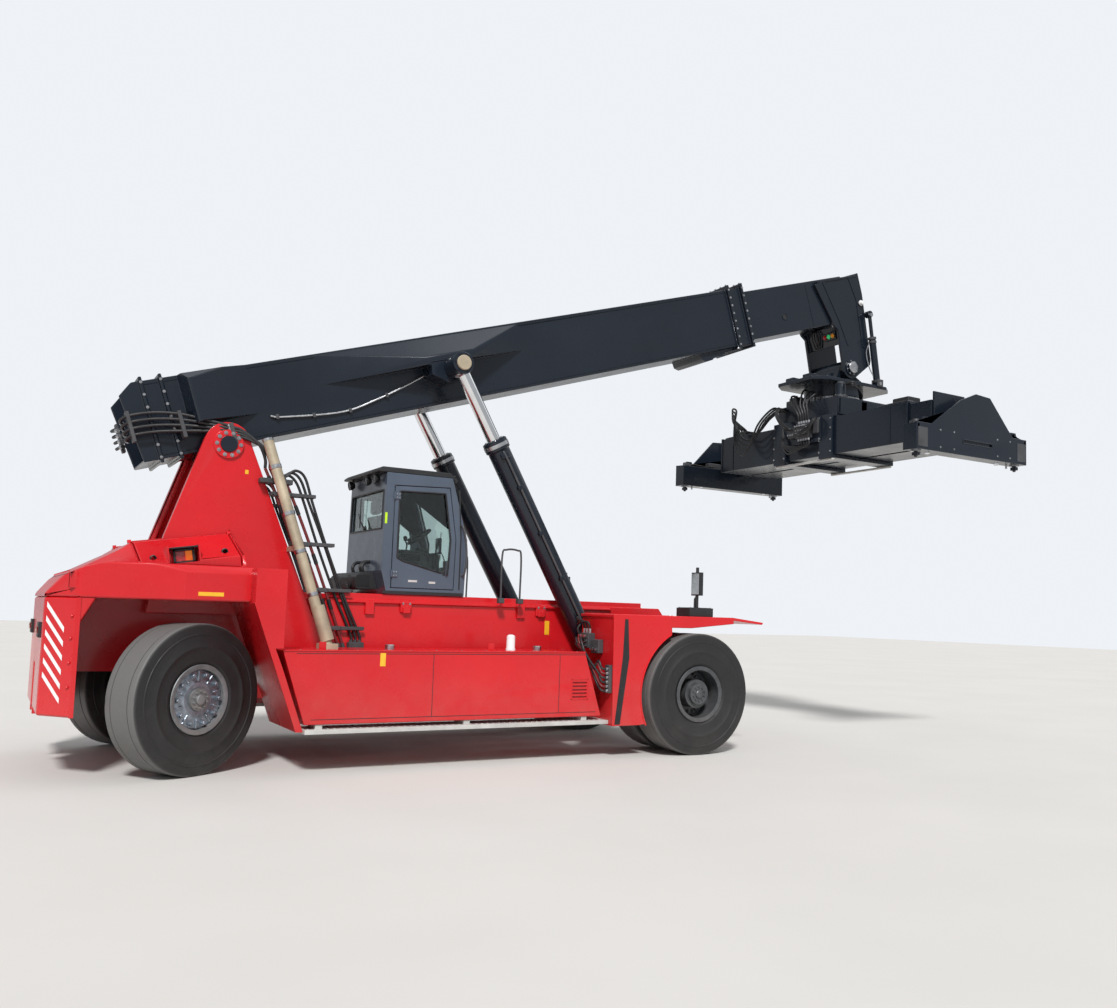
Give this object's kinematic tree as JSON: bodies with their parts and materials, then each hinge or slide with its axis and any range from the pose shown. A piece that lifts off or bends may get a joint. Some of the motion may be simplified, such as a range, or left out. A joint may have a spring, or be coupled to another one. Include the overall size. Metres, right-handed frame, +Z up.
{
  "type": "reach stacker",
  "caption": "Reach stacker: counterweighted truck with a telescopic boom that carries a container spreader, cab on rails, steered rear wheels.",
  "frame": {"origin": "on the ground, under the middle of the machine's length and width", "axes": "+X forwards, towards the spreader; +Y to the machine's left; +Z up"},
  "size_m": [13.4014, 6.123, 8.0414],
  "materials": {
    "body_paint": "red machine paint, satin",
    "boom_paint": "dark blue-grey paint, satin",
    "dark_steel": "dark grey painted steel",
    "cab_paint": "grey-blue paint, satin",
    "black_plastic": "black moulded plastic",
    "seat_fabric": "black seat fabric over moulded parts",
    "tyre": "black rubber, dusty tread",
    "glass": "clear tinted pane",
    "chrome": "hard chrome rod",
    "exhaust_steel": "beige heat-proof coat",
    "step_grey": "light grey tread plate"
  },
  "bodies": {
    "root": {"main_frame": "body_paint", "tower": "body_paint", "rear_frame": "body_paint", "counterweight": "body_paint", "rear_deck": "body_paint", "engine_block": "dark_steel", "drive_axle": "dark_steel", "steer_axle": "dark_steel", "tank_right": "body_paint", "tank_left": "body_paint", "walkways": "step_grey", "front_fenders": "body_paint", "mud_plates": "body_paint", "exhaust_pipe": "exhaust_steel", "tower_pipes": "dark_steel", "work_lamps": "black_plastic"},
    "lid_right": {"hood_lid_right": "body_paint"},
    "lid_left": {"hood_lid_left": "body_paint"},
    "cab": {"cab_shell": "cab_paint", "cab_roof": "black_plastic", "cab_glass": "glass", "operator_station": "seat_fabric", "cooler_unit": "black_plastic"},
    "cab_door_right": {"door_right": "cab_paint", "door_glass_right": "glass"},
    "cab_door_left": {"door_left": "cab_paint", "door_glass_left": "glass"},
    "steer_right": {"knuckle_right": "dark_steel"},
    "steer_left": {"knuckle_left": "dark_steel"},
    "wheel_rear_right": {"tyre_rear_right": "tyre", "rim_rear_right": "dark_steel"},
    "wheel_rear_left": {"tyre_rear_left": "tyre", "rim_rear_left": "dark_steel"},
    "wheels_front_right": {"tyres_front_right": "tyre", "rims_front_right": "dark_steel"},
    "wheels_front_left": {"tyres_front_left": "tyre", "rims_front_left": "dark_steel"},
    "boom": {"boom_outer": "boom_paint", "extension_rod": "chrome"},
    "boom_slide": {"boom_inner": "boom_paint", "boom_head": "boom_paint"},
    "barrel_right": {"lift_barrel_right": "boom_paint"},
    "barrel_left": {"lift_barrel_left": "boom_paint"},
    "rod_right": {"lift_rod_right": "chrome"},
    "rod_left": {"lift_rod_left": "chrome"},
    "hanger": {"yoke": "boom_paint"},
    "slew": {"slew_frame": "boom_paint"},
    "shift": {"spreader_beam": "boom_paint"},
    "arm_right": {"spreader_arm_right": "boom_paint", "end_beam_right": "boom_paint"},
    "arm_left": {"spreader_arm_left": "boom_paint", "end_beam_left": "boom_paint"}
  },
  "joints": [
    {"name": "steer_right", "type": "hinge", "parent": "root", "child": "steer_right", "pos_m": [-5.42075, -1.17, 0.815], "axis": [0, 0, 1], "range_deg": [-81, 19]},
    {"name": "steer_left", "type": "hinge", "parent": "root", "child": "steer_left", "pos_m": [-5.42075, 1.17, 0.815], "axis": [0, 0, 1], "range_deg": [-81, 19]},
    {"name": "roll_rear_right", "type": "hinge", "parent": "steer_right", "child": "wheel_rear_right", "pos_m": [-5.30744, -1.35858, 0.815], "axis": [-0.515, 0.8572, 0], "continuous": true},
    {"name": "roll_front_right", "type": "hinge", "parent": "root", "child": "wheels_front_right", "pos_m": [1.07925, -1.55, 0.815], "axis": [0, 1, 0], "continuous": true},
    {"name": "roll_rear_left", "type": "hinge", "parent": "steer_left", "child": "wheel_rear_left", "pos_m": [-5.53406, 1.35858, 0.815], "axis": [-0.515, 0.8572, 0], "continuous": true},
    {"name": "roll_front_left", "type": "hinge", "parent": "root", "child": "wheels_front_left", "pos_m": [1.07925, 1.55, 0.815], "axis": [0, 1, 0], "continuous": true},
    {"name": "lift", "type": "hinge", "parent": "root", "child": "boom", "pos_m": [-4.90075, 0, 3.73], "axis": [0, 1, 0], "range_deg": [-42, 18]},
    {"name": "extend", "type": "slide", "parent": "boom", "child": "boom_slide", "axis": [0.9511, 0, 0.309], "range_m": [-1.5, 5.2]},
    {"name": "lift_barrel_right", "type": "hinge", "parent": "root", "child": "barrel_right", "pos_m": [0.09925, -0.935, 1.19], "axis": [0, 1, 0], "range_deg": [-3, 1.5]},
    {"name": "lift_rod_right", "type": "slide", "parent": "barrel_right", "child": "rod_right", "axis": [-0.498, 0, 0.8672], "range_m": [-0.93, 2.16]},
    {"name": "lift_barrel_left", "type": "hinge", "parent": "root", "child": "barrel_left", "pos_m": [0.09925, 0.935, 1.19], "axis": [0, 1, 0], "range_deg": [-3, 1.5]},
    {"name": "lift_rod_left", "type": "slide", "parent": "barrel_left", "child": "rod_left", "axis": [-0.498, 0, 0.8672], "range_m": [-0.93, 2.16]},
    {"name": "level", "type": "hinge", "parent": "boom_slide", "child": "hanger", "pos_m": [5.44075, 0, 6.30156], "axis": [0, 1, 0], "range_deg": [-18.1, 42.1]},
    {"name": "rotate", "type": "hinge", "parent": "hanger", "child": "slew", "pos_m": [5.44075, 0, 5.71156], "axis": [0, 0, 1], "range_deg": [-195, 105]},
    {"name": "side_shift", "type": "slide", "parent": "slew", "child": "shift", "axis": [0, 1, 0], "range_m": [-0.8, 0.8]},
    {"name": "telescope_right", "type": "slide", "parent": "shift", "child": "arm_right", "axis": [0, -1, 0], "range_m": [0, 3.06]},
    {"name": "telescope_left", "type": "slide", "parent": "shift", "child": "arm_left", "axis": [0, 1, 0], "range_m": [0, 3.06]},
    {"name": "cab_slide", "type": "slide", "parent": "root", "child": "cab", "axis": [-1, 0, 0], "range_m": [-2.2, 0]},
    {"name": "door_right", "type": "hinge", "parent": "cab", "child": "cab_door_right", "pos_m": [-2.85075, -0.7493, 2.8], "axis": [0, 0, -1], "range_deg": [0, 85]},
    {"name": "door_left", "type": "hinge", "parent": "cab", "child": "cab_door_left", "pos_m": [-2.85075, 0.7493, 2.8], "axis": [0, 0, 1], "range_deg": [0, 85]},
    {"name": "hood_right", "type": "hinge", "parent": "root", "child": "lid_right", "pos_m": [-5.37275, -0.745, 2.58394], "axis": [-0.9877, 0, -0.1564], "range_deg": [0, 60]},
    {"name": "hood_left", "type": "hinge", "parent": "root", "child": "lid_left", "pos_m": [-5.37275, 0.745, 2.58394], "axis": [0.9877, 0, 0.1564], "range_deg": [0, 60]}
  ],
  "couplings": [
    {"joint": "steer_left", "follows": "steer_right", "ratio": 1},
    {"joint": "lift_barrel_right", "follows": "lift", "ratio": 0.065},
    {"joint": "lift_barrel_left", "follows": "lift", "ratio": 0.065},
    {"joint": "lift_rod_right", "follows": "lift", "m_per_rad": -2.9393},
    {"joint": "lift_rod_left", "follows": "lift", "m_per_rad": -2.9393},
    {"joint": "level", "follows": "lift", "ratio": -1},
    {"joint": "telescope_left", "follows": "telescope_right", "ratio": 1}
  ]
}
